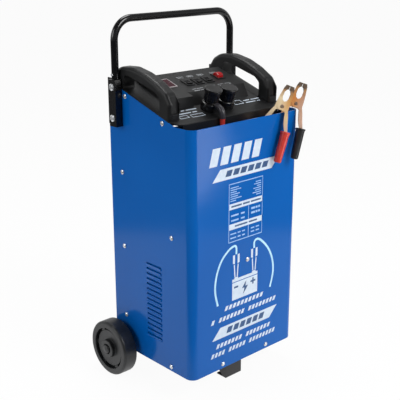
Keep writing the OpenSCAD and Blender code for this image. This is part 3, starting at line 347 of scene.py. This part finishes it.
def dashes(left, right, low, high, slant, lengths, gap):
    """A row of slanted dashes of the given share of lengths, as wide as the row."""
    total = sum(lengths)
    room = right - left - gap * (len(lengths) - 1)
    bars, start = [], left
    for share in lengths:
        end = start + room * share / total
        bars.append(bar(start, end, low, high, slant))
        start = end + gap
    return bars


# Five bars at the top, and two slanted badges
name_left, name_w, name_step = -122, 24, 33.5
name_bars = []
for i in range(5):
    left = name_left + i * name_step
    name_bars.append(bar(left, left + name_w, 509, 550, slant=11))
badges = [bar(-112, 81, 472, 499, slant=24), bar(-111, 86, 82, 110, slant=27)]

# Rows of short dashes, in groups with a gap of one dash between them
dash_h, dash_slant, dash_gap = 11, 5, 0.35
rows = []
for left, right, low, groups in (
    (-71, 62, 149, (10,)), (-115, 108, 125, (1, 7, 8)), (-98, 90, 58, (7, 7)), (-115, 108, 37, (4, 5, 8))
):
    cell = (right - left) / (sum(groups) + len(groups) - 1)
    start = left
    for count in groups:
        end = start + cell * (count - dash_gap)
        rows += dashes(start, end, low, low + dash_h, dash_slant, (1,) * count, dash_gap * cell)
        start += cell * (count + 1)

# The battery with its lid and two posts, and the grips and jaws of a clamp on each post
lid, box = bar(-46, 40, 214.5, 222), bar(-46, 40, 168, 212.5)
posts = [bar(-39, -27, 222, 226), bar(21, 33, 222, 226)]
grip_outline = ((4.5, 283), (11, 283), (11, 262), (4.5, 260))
jaw_outline = ((4.8, 258), (8, 258), (5.5, 227), (2, 227))
drawn_clamps = []
for middle in (-33.5, 27.5):
    for side in (-1, 1):
        for outline in (grip_outline, jaw_outline):
            drawn_clamps.append([(middle + side * u, v) for u, v in outline])
battery = [lid, box, *posts, *drawn_clamps]

# The table: its rules in pale blue, two white header bars and rows of short dashes
table_left, table_right, table_low, table_high = -60, 52, 318, 458.6
column_left, column_right = 4.5, 6
headers = [bar(-58, table_right, 397, 411), bar(-58, table_right, 348, 362)]
printed("front_print_white", name_bars + badges + rows + headers + battery, white_ink)
ruled = [
    bar(table_left, table_right, 457.5, 459.5),
    bar(table_left, table_right, 317, 319),
    bar(table_left, -58.4, table_low, table_high),
    bar(50.6, table_right, table_low, table_high),
    bar(column_left, column_right, 363, 396.5),
    bar(column_left, column_right, 319, 347.5),
]
entries = []
line_top, line_pitch, line_t = 448, 5.2, 2
for row, (first, last) in enumerate(((26, 18), (34, 24), (20, 14), (30, 26), (24, 20), (36, 28), (18, 16))):
    level = line_top - row * line_pitch
    entries.append(bar(-55, -55 + first, level, level + line_t))
    entries.append(bar(46 - last, 46, level, level + line_t))
for row in range(2):
    entries += dashes(-52, -8, 380 - row * 12, 384 - row * 12, 0, (2, 1), 8)
    entries += dashes(14, 44, 384 - row * 11, 389 - row * 11, 0, (2, 1, 1), 2)
    entries += dashes(-54, -6, 336 - row * 10, 339 - row * 10, 0, (2, 1, 1), 5)
    entries += dashes(14, 42, 336 - row * 9, 339 - row * 9, 0, (1, 1), 5)
printed("front_print_table", ruled + entries, pale_ink)

# The two leads that curve down beside the battery
lead_w = 5.5
left_lead = smooth(
    ((-33.5, 284), (-34, 300), (-41, 306), (-60, 299), (-83, 278), (-98, 245), (-102, 208), (-93, 169))
)
right_lead = smooth(
    ((27, 284), (27, 299), (35, 304.5), (49, 299), (73, 275), (90, 244), (96, 206), (86, 165))
)
printed("front_print_leads", [stroke(left_lead, lead_w), stroke(right_lead, lead_w)], cyan_ink)

# Navy over the white: dashes in the badges and headers, and the battery's poles and flash
plus_sign = [bar(16, 33, 198, 202.5), bar(22.3, 26.7, 192, 197.99), bar(22.3, 26.7, 202.51, 208.5)]
minus_sign = bar(-40, -26, 198, 202.5)
flash_sign = [(1, 208), (-13, 191), (-4.5, 191), (-9, 175), (8, 194.5), (-1.5, 194.5)]
over = dashes(-72, 64, 479, 493, 6, (1,) * 6, 6) + dashes(-64, 62, 89, 104, 6, (1,) * 6, 6)
over += dashes(-52, 46, 402, 406, 0, (3, 2, 3), 4) + dashes(-40, 34, 353, 357, 0, (3, 2), 4)
over += [minus_sign, *plus_sign, flash_sign]
printed("front_print_navy", over, navy_ink, lift=ink_t + 0.02)

# ---------------------------------------------------------------- marks on the console
# Plain frames and dashes printed on the grained plastic: grey beside each switch on the raised
# deck, and white on the terrace beside the terminals.
edge_front, edge_rear = 600, 675  # the height of the case's top edge at the front and at the rear
level_d, case_d = 53, 286  # how deep the edge runs level, and how deep the case is
top_slope = (edge_rear - edge_front) / (case_d - level_d)
tilt = atan(top_slope)
lean = Matrix.Rotation(tilt, 3, "X")
console_seat = 3.3
deck_rise = 24.7
deck_y, terrace_y = 172, 96


def terrace_z(y):
    """The height of the terrace at a depth."""
    return edge_front + top_slope * max(0, y - level_d) + console_seat


def deck_z(y):
    """The height of the raised deck at a depth."""
    return terrace_z(y) + deck_rise


def framed(x0, x1, y0, y1, width):
    """A rectangular line, as four bars."""
    return [
        bar(x0, x1, y1 - width, y1),
        bar(x0, x1, y0, y0 + width),
        bar(x0, x0 + width, y0 + width, y1 - width),
        bar(x1 - width, x1, y0 + width, y1 - width),
    ]


stretch = 1 / cos(tilt)  # turns a depth seen from above into one along the slope
mains_x = 75
deck_marks = []
for middle in (-31, 0, 33, mains_x):
    deck_marks += framed(middle - 9, middle + 9, 22 * stretch, 29 * stretch, 0.9)
    deck_marks.append(bar(middle - 5, middle + 5, 25 * stretch, 26.4 * stretch))
for middle in (22, 49, 73):
    deck_marks += framed(middle - 8, middle + 8, -34 * stretch, -28 * stretch, 0.9)
deck_marks += dashes(-46, -6, -41 * stretch, -39.4 * stretch, 3, (3, 1, 2), 3)
deck_marks += dashes(-44, -12, -33 * stretch, -31.4 * stretch, 2, (1, 2), 3)
deck_spot = (0, deck_y, deck_z(deck_y))
printed("deck_marks", deck_marks, grey_ink, turn=lean, spot=deck_spot)
terrace_marks = dashes(-139, -66, 6, 9, 0, (2, 1, 3), 5) + dashes(-132, -74, -6, -3, 0, (3, 1), 5)
terrace_marks += framed(-138, -112, -24, -12, 1.4) + framed(-104, -66, -26, -14, 1.4)
terrace_marks += framed(48, 76, -8, 10, 1.4) + dashes(84, 138, 2, 5, 0, (2, 3), 5)
terrace_marks += dashes(84, 132, -8, -5, 0, (3, 1), 5)
terrace_spot = (0, terrace_y, terrace_z(terrace_y))
printed("terrace_marks", terrace_marks, white_ink, turn=lean, spot=terrace_spot)

# ---------------------------------------------------------------- rocker switches
# Three black rockers, and a larger red mains rocker with a lamp behind it. Each tilts on two pins
# in its frame. The mains one is a domed lens.

# Moulded nylon: black and glossy
black_nylon = toned("black_gloss_nylon", 8, 2.0, "#0c0c0d", "#131315", in_Roughness=0.18)[0]
dress(black_nylon, "left_rocker", "middle_rocker", "right_rocker")

# Clear red polycarbonate: very glossy, with a faint glow of its own
red_lamp_cap, tree, shader, place = material(
    "red_polycarbonate", in_Roughness=0.12, in_Emission_Strength=0.12
)
drift = add(tree, "TexNoise", in_Vector=place, in_Scale=1 / (10 * mm), in_Detail=1.0)
glow = shades(tree, drift.outputs["Fac"], (0.3, "#8a0c10"), (0.7, "#a8141a"))
tree.links.new(glow, shader.inputs["Base Color"])
tree.links.new(glow, shader.inputs["Emission Color"])

# The cap's outline from the side has a domed top, a short skirt and a keel between the pins
mains_w, mains_l, mains_y = 26, 28, 178
pin_d, pin_reach = 3, 10.6
pivot_depth = 1.5
rest_tilt = radians(-9)
side = mains_w / 2 - 4.3
end = mains_l / 2 - 4.5
dome = [(end + 0.4, 4.5), (end - 0.4, 8.6), (end - 3.4, 11), (0, 12)]
outline = [(-end, -2.5)] + [(-y, z) for y, z in dome] + dome[-2::-1] + [(end, -2.5), (4, -6), (-4, -6)]
mesh = bmesh.new()
face = mesh.faces.new([mesh.verts.new((-side, y, z)) for y, z in outline])
pushed_out(mesh, [face], (2 * side, 0, 0))
rim = []
for edge in mesh.edges:
    a, b = (vert.co for vert in edge.verts)
    if abs(a.x - b.x) < 0.01 and min(a.z, b.z) > 4:
        rim.append(edge)
bmesh.ops.bevel(mesh, geom=rim, offset=2.4, segments=4, profile=0.5, affect="EDGES")
for face in mesh.faces:
    face.smooth = True
bmesh.ops.create_cone(
    mesh, cap_ends=True, segments=20, radius1=pin_d / 2, radius2=pin_d / 2, depth=2 * pin_reach,
    matrix=Matrix.Rotation(radians(90), 4, "Y"),
)
on_deck = Matrix.Translation(case(mains_x, mains_y, deck_z(mains_y))) @ lean.to_4x4()
seat = on_deck @ Matrix.Translation((0, 0, -pivot_depth * mm)) @ Matrix.Rotation(rest_tilt, 4, "X")
bmesh.ops.transform(mesh, matrix=seat @ Matrix.Scale(mm, 4), verts=mesh.verts[:])
mains_cap = piece("mains_rocker_cap", mesh, red_lamp_cap)
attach(mains_cap, "power_rocker_body")
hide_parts("power_rocker")

# ---------------------------------------------------------------- display
# A light frame snapped into the deck round a smoked window. The display module sits behind it,
# on the control board.

# Moulded light grey ABS: plain and satin
grey_abs = toned("light_grey_abs", 6, 2.0, "#9c9698", "#b2acae", in_Roughness=0.4)[0]
dress(grey_abs, "display_frame")

# Cast acrylic, smoked red: dark and mirror-smooth
smoked = toned("smoked_red_acrylic", 12, 1.0, "#34101a", "#471a26", in_Roughness=0.1, in_IOR=1.3)[0]
dress(smoked, "display_window")

# ---------------------------------------------------------------- terminals
# Two screw knobs on brass studs with insulating bases. The red lead's tinned lug lies under the
# left knob, with a dark sleeve shrunk over its neck.

# Moulded phenolic: black, hard and glossy
phenolic = toned("black_phenolic", 12, 2.0, "#0c0c0e", "#141416", in_Roughness=0.24)[0]
dress(phenolic, "left_terminal_knob", "right_terminal_knob", "terminal_bases")

# Shrunk sleeve: dark grey, softly shining
dark_sleeve = toned("dark_grey_sleeve", 6, 2.0, "#2c2b31", "#38373d", in_Roughness=0.35)[0]
dress(dark_sleeve, "lead_sleeve")

# Tinned copper: dull grey metal
tinned = toned(
    "dull_tinned_copper", 6, 2.0, "#6c6a6c", "#88868a", in_Metallic=1.0, in_Roughness=0.4
)[0]
dress(tinned, "lead_lug")

# Turned brass: warm, with a soft metal shine
brass = toned("turned_brass", 5, 2.0, "#b98f45", "#d8b066", in_Metallic=1.0, in_Roughness=0.3)[0]
dress(brass, "terminal_studs")

# ---------------------------------------------------------------- fasteners
# Stock screws and bolts of steel, and the other small steel parts that are plated like them: the
# axle, its spacers, the clamps' springs and the transformer's angles.

# Bright zinc plate: pale and shiny, a little clouded
zinc = toned("bright_zinc_plate", 7, 3.0, "#cfd2d6", "#e6e8ea", in_Metallic=0.7, in_Roughness=0.25)[0]
dress(
    zinc, "base_bolts", "case_screws", "bracket_bolts", "handle_stop_screws", "axle", "wheel_spacers",
    "core_bolts", "transformer_angles", "rectifier_diodes", "fan_screws", "red_clamp_spring",
    "black_clamp_spring",
)

# ---------------------------------------------------------------- wheels
# Two solid wheels, each moulded in one piece with its tread, hub and web. They turn on the axle,
# and a cap pressed on each end holds them.

# Moulded tough plastic: black and satin, with faint swirls and a grain drawn coarser than real
wheel_plastic = grained(
    toned("black_wheel_plastic", 18, 3.0, "#16181a", "#1f2124", in_Roughness=0.4),
    size=1.5, detail=2.0, strength=0.15, depth=0.2,
)
dress(wheel_plastic, "left_wheel", "right_wheel", "axle_caps")

# ---------------------------------------------------------------- clamps
# Each clamp is two pressed steel arms on a rivet, with a spring between them and dipped grips.
# Both hang on the front panel's top edge.
black_pivot, black_hung = Vector((162.4, 1.2, 614.4)), hung(18.4)
leg_end, teeth_end = -90, 46
left_edge, right_edge = -6, 10


def flashed_steel(name, pivot, turns, left_painted_tones, right_painted_tones):
    """Copper-flashed steel: a run of tones from the legs to the teeth for each side, with a painted lit side
    and a painted shaded side.
    """
    made, tree, shader, place = material(name, in_Metallic=0.25, in_Roughness=0.28)
    turned = add(
        tree, "Mapping", vector_type="TEXTURE", in_Vector=place, in_Location=case(*pivot),
        in_Rotation=turns.to_euler(),
    )
    split = add(tree, "SeparateXYZ", in_Vector=turned.outputs["Vector"])
    share = add(
        tree, "MapRange", in_Value=split.outputs["Z"],
        in_From_Min=leg_end * mm, in_From_Max=teeth_end * mm,
    )
    blotch = add(tree, "TexNoise", in_Vector=place, in_Scale=1 / (9 * mm), in_Detail=3.0)
    moved = add(tree, "Math", operation="MULTIPLY_ADD", in_0=blotch.outputs["Fac"], in_1=0.1, in_2=-0.05)
    spot = add(tree, "Math", operation="ADD", in_0=share.outputs["Result"], in_1=moved.outputs[0]).outputs[0]
    # Painted highlight and shade: the mix across the clamp's width gives one side paler, lit tones and the
    # other more orange, shaded ones.
    side = add(
        tree, "MapRange", in_Value=split.outputs["X"],
        in_From_Min=left_edge * mm, in_From_Max=right_edge * mm,
    )
    painted_light_tone = add(
        tree, "MixRGB", in_Fac=side.outputs["Result"], in_Color1=shades(tree, spot, *left_painted_tones),
        in_Color2=shades(tree, spot, *right_painted_tones),
    )
    tree.links.new(painted_light_tone.outputs["Color"], shader.inputs["Base Color"])
    return made


# Copper flash on pressed steel: warm metal, pale on the legs and dark brown at the teeth. The run of pale and
# orange tones along each clamp and across its sides is partly painted highlight and painted shade. The red
# clamp's copy is painted paler and the black clamp's more orange.
teeth_brown = ((0.93, "#b98a5c"), (0.975, "#6b5a4c"))
# The red clamp's copy: paler tones, painted highlight and shade as it was lit
red_clamp_flash_painted_light = flashed_steel(
    "red_clamp_copper_flash_painted_light",
    red_pivot,
    red_hung,
    ((0.2, "#f0d2c6"), (0.5, "#f6dcb2"), (0.8, "#f7e0b8"), *teeth_brown),
    ((0.2, "#eecdbf"), (0.5, "#f2d2a2"), (0.8, "#e5a860"), *teeth_brown),
)
# The black clamp's copy: more orange tones, painted highlight and shade as it was lit
black_clamp_flash_painted_light = flashed_steel(
    "black_clamp_copper_flash_painted_light",
    black_pivot,
    black_hung,
    ((0.2, "#ecc8b4"), (0.5, "#eaae74"), (0.75, "#ea9c54"), *teeth_brown),
    ((0.2, "#ecc8b4"), (0.5, "#e4baa0"), (0.8, "#d8a686"), *teeth_brown),
)
dress(red_clamp_flash_painted_light, "red_clamp_front_arm", "red_clamp_back_arm")
dress(black_clamp_flash_painted_light, "black_clamp_front_arm", "black_clamp_back_arm")

# Headed steel rivet: a browned, dull metal
rivet_steel = toned(
    "browned_rivet_steel", 3, 2.0, "#8f7c6c", "#ae9b8a", in_Metallic=0.8, in_Roughness=0.35
)[0]
dress(rivet_steel, "red_clamp_rivet", "black_clamp_rivet")

# Dipped PVC: thick and smooth, shining in red and softer in black
red_grip = toned("red_dipped_pvc", 12, 2.0, "#c03026", "#d24034", in_Roughness=0.24)[0]
dress(red_grip, "red_clamp_front_grip", "red_clamp_back_grip")
black_grip = toned("black_dipped_pvc", 12, 2.0, "#17171a", "#222226", in_Roughness=0.35)[0]
dress(black_grip, "black_clamp_front_grip", "black_clamp_back_grip")

# ---------------------------------------------------------------- transformer
# A stack of steel laminations, clamped by bolts and angles, with a thin-wire primary and a
# heavy secondary wound round its middle leg.

# Varnished core steel: grey edges in layers, drawn coarser than real ones so that they show
core_steel, tree, shader, place = material("varnished_core_steel", in_Metallic=0.7, in_Roughness=0.5)
layers = add(
    tree, "TexWave", bands_direction="Y", in_Vector=place, in_Scale=1 / (12 * mm), in_Distortion=0.4
)
layer_tone = shades(tree, layers.outputs["Fac"], (0.2, "#4a4c50"), (0.8, "#6a6d72"))
tree.links.new(layer_tone, shader.inputs["Base Color"])
dress(core_steel, "transformer_core")

# Lacquered copper wire: brown and shiny in even turns, drawn coarser than real ones
winding, tree, shader, place = material("lacquered_copper_wire", in_Metallic=0.8, in_Roughness=0.35)
wires = add(
    tree, "TexWave", bands_direction="Z", in_Vector=place, in_Scale=1 / (12 * mm), in_Distortion=0.2
)
wire_tone = shades(tree, wires.outputs["Fac"], (0.2, "#8a4a20"), (0.8, "#c27a3c"))
tree.links.new(wire_tone, shader.inputs["Base Color"])
dress(winding, "primary_winding", "secondary_winding")

# ---------------------------------------------------------------- rectifier and board
# An extruded heat sink that holds the diodes, the control board under the switches, and a
# thermal breaker on the winding.

# Bare extruded aluminium: pale satin metal
extruded = toned("extruded_aluminium", 20, 2.0, "#b4b7ba", "#cfd1d4", in_Metallic=1.0, in_Roughness=0.38)[0]
dress(extruded, "rectifier_heatsink")

# Solder mask on a circuit board: green, softly shining, mottled by the tracks below it
board, tree, shader, place = material("green_solder_mask", in_Roughness=0.35)
tracks = add(tree, "TexNoise", in_Vector=place, in_Scale=1 / (5 * mm), in_Detail=4.0)
board_tone = shades(tree, tracks.outputs["Fac"], (0.4, "#1d4a2a"), (0.6, "#2c6a3c"))
tree.links.new(board_tone, shader.inputs["Base Color"])
dress(board, "control_board", "thermal_breaker")

# ---------------------------------------------------------------- floor
# A matt white floor, lit to pure white where it is seen or mirrored. What mirrors it sees it fade
# beyond the backdrop's foot and towards the viewer, where a studio is dark.
viewer_side = (-0.68, -0.73, 0.0)
white_share = 0.95
floor_mesh = bmesh.new()
bmesh.ops.create_grid(floor_mesh, x_segments=1, y_segments=1, size=12)
sweep, tree, shader, place = material("white_sweep", in_Roughness=0.9, in_Base_Color=linear("#f4f4f4"))
rays = add(tree, "LightPath")
camera_ray, glossy_ray = rays.outputs["Is Camera Ray"], rays.outputs["Is Glossy Ray"]
seen = add(tree, "Math", operation="MAXIMUM", in_0=camera_ray, in_1=glossy_ray)
seen = add(tree, "Math", operation="MAXIMUM", in_0=seen.outputs[0], in_1=rays.outputs["Is Transmission Ray"])
share = add(tree, "Math", operation="MULTIPLY", in_0=seen.outputs[0], in_1=white_share)
apart = add(tree, "VectorMath", operation="LENGTH", in_0=place)
fade = add(
    tree, "MapRange", in_Value=apart.outputs["Value"],
    in_From_Min=1.18, in_From_Max=1.25, in_To_Min=1.0, in_To_Max=0.15,
)
near = add(tree, "VectorMath", operation="DOT_PRODUCT", in_0=place, in_1=viewer_side)
dusk = add(
    tree, "MapRange", in_Value=near.outputs["Value"],
    in_From_Min=0.35, in_From_Max=0.5, in_To_Min=1.0, in_To_Max=0.05,
)
both = add(tree, "Math", operation="MULTIPLY", in_0=fade.outputs["Result"], in_1=dusk.outputs["Result"])
plain = add(tree, "Math", operation="MAXIMUM", in_0=both.outputs[0], in_1=camera_ray)
white = add(tree, "Emission", in_Color=(1, 1, 1, 1), in_Strength=plain.outputs[0])
mixed = add(tree, "MixShader", in_0=share.outputs[0], in_1=shader.outputs[0], in_2=white.outputs[0])
add(tree, "OutputMaterial", in_Surface=mixed.outputs[0]).is_active_output = True
floor = piece("floor", floor_mesh, sweep)

# ---------------------------------------------------------------- room and lamps
# A white room to the eye. It lights the charger from the far side, where the backdrop is, and is
# dim behind the viewer and overhead. Four round lamps do the rest.
backdrop_side = (0.68, 0.73, 0.0)
world = bpy.data.worlds.new("studio")
bpy.context.scene.world = world
world.use_nodes = True
tree = world.node_tree
tree.nodes.clear()
way = add(tree, "TexCoord").outputs["Generated"]
far = add(tree, "VectorMath", operation="DOT_PRODUCT", in_0=way, in_1=backdrop_side)
glow = add(tree, "MapRange", in_Value=far.outputs["Value"], in_From_Min=-0.2, in_From_Max=0.35, in_To_Min=0.3)
height = add(tree, "SeparateXYZ", in_Vector=way)
fall = add(
    tree, "MapRange", in_Value=height.outputs["Z"],
    in_From_Min=0.3, in_From_Max=0.6, in_To_Min=1.0, in_To_Max=0.3,
)
level = add(tree, "Math", operation="MULTIPLY", in_0=glow.outputs["Result"], in_1=fall.outputs["Result"])
rays = add(tree, "LightPath")
seen = add(tree, "Math", operation="MAXIMUM", in_0=rays.outputs["Is Camera Ray"], in_1=level.outputs[0])
seen = add(tree, "Math", operation="MAXIMUM", in_0=seen.outputs[0], in_1=rays.outputs["Is Transmission Ray"])
room = add(tree, "Background", in_Color=(1, 1, 1, 1), in_Strength=seen.outputs[0])
add(tree, "OutputWorld", in_Surface=room.outputs[0])


def softbox(name, spot, aim, size, power):
    """A round studio lamp that faces a point, with its places and size in metres."""
    data = bpy.data.lights.new(name, "AREA")
    data.shape = "DISK"
    data.size = size
    data.energy = power
    lamp = bpy.data.objects.new(name, data)
    lamp.location = spot
    lamp.rotation_euler = (Vector(aim) - Vector(spot)).to_track_quat("-Z", "Y").to_euler()
    bpy.context.collection.objects.link(lamp)


softbox("key_lamp", (0.5, -2.7, 2.5), (0, 0, 0.45), 1.6, 64)
softbox("side_lamp", (-2.6, 0.6, 1.8), (0, 0, 0.45), 1.6, 28)
softbox("top_lamp", (0.4, 0.6, 2.9), (0, 0, 0.6), 1.4, 30)
softbox("low_lamp", (0.62, -1.2, 0.3), (0, -0.1, 0.5), 0.5, 2.5)
